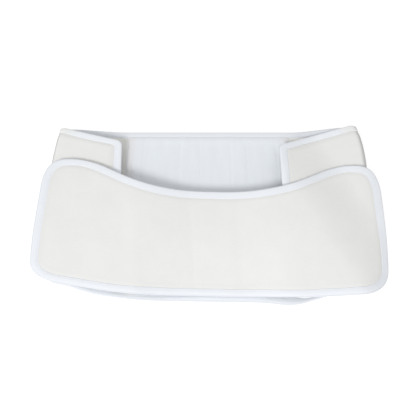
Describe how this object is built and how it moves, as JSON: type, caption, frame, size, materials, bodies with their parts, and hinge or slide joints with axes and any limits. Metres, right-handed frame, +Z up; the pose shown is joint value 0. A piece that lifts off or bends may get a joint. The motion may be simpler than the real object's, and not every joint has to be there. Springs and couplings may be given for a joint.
{
  "type": "maternity belt",
  "caption": "Closed maternity support belt lying on its padded back band, ends folded in under a wide contoured front panel with bound edges.",
  "frame": {"origin": "on the surface the belt lies on, under the middle of its bounding box", "axes": "+X along the belt, +Y towards its upper edge, +Z up out of the surface"},
  "size_m": [0.4134, 0.2394, 0.0267],
  "materials": {
    "loop_fabric": "cream brushed loop fabric over thin padding",
    "binding": "white woven binding tape, stitched",
    "lining": "bluish white smooth lining with sewn stay channels",
    "hook_tape": "white hook tape"
  },
  "bodies": {
    "root": {"band": "loop_fabric", "band_binding": "binding", "back_lining": "lining", "front_panel": "loop_fabric", "front_panel_binding": "binding", "hook_patch_left": "hook_tape", "hook_patch_right": "hook_tape"}
  },
  "joints": []
}
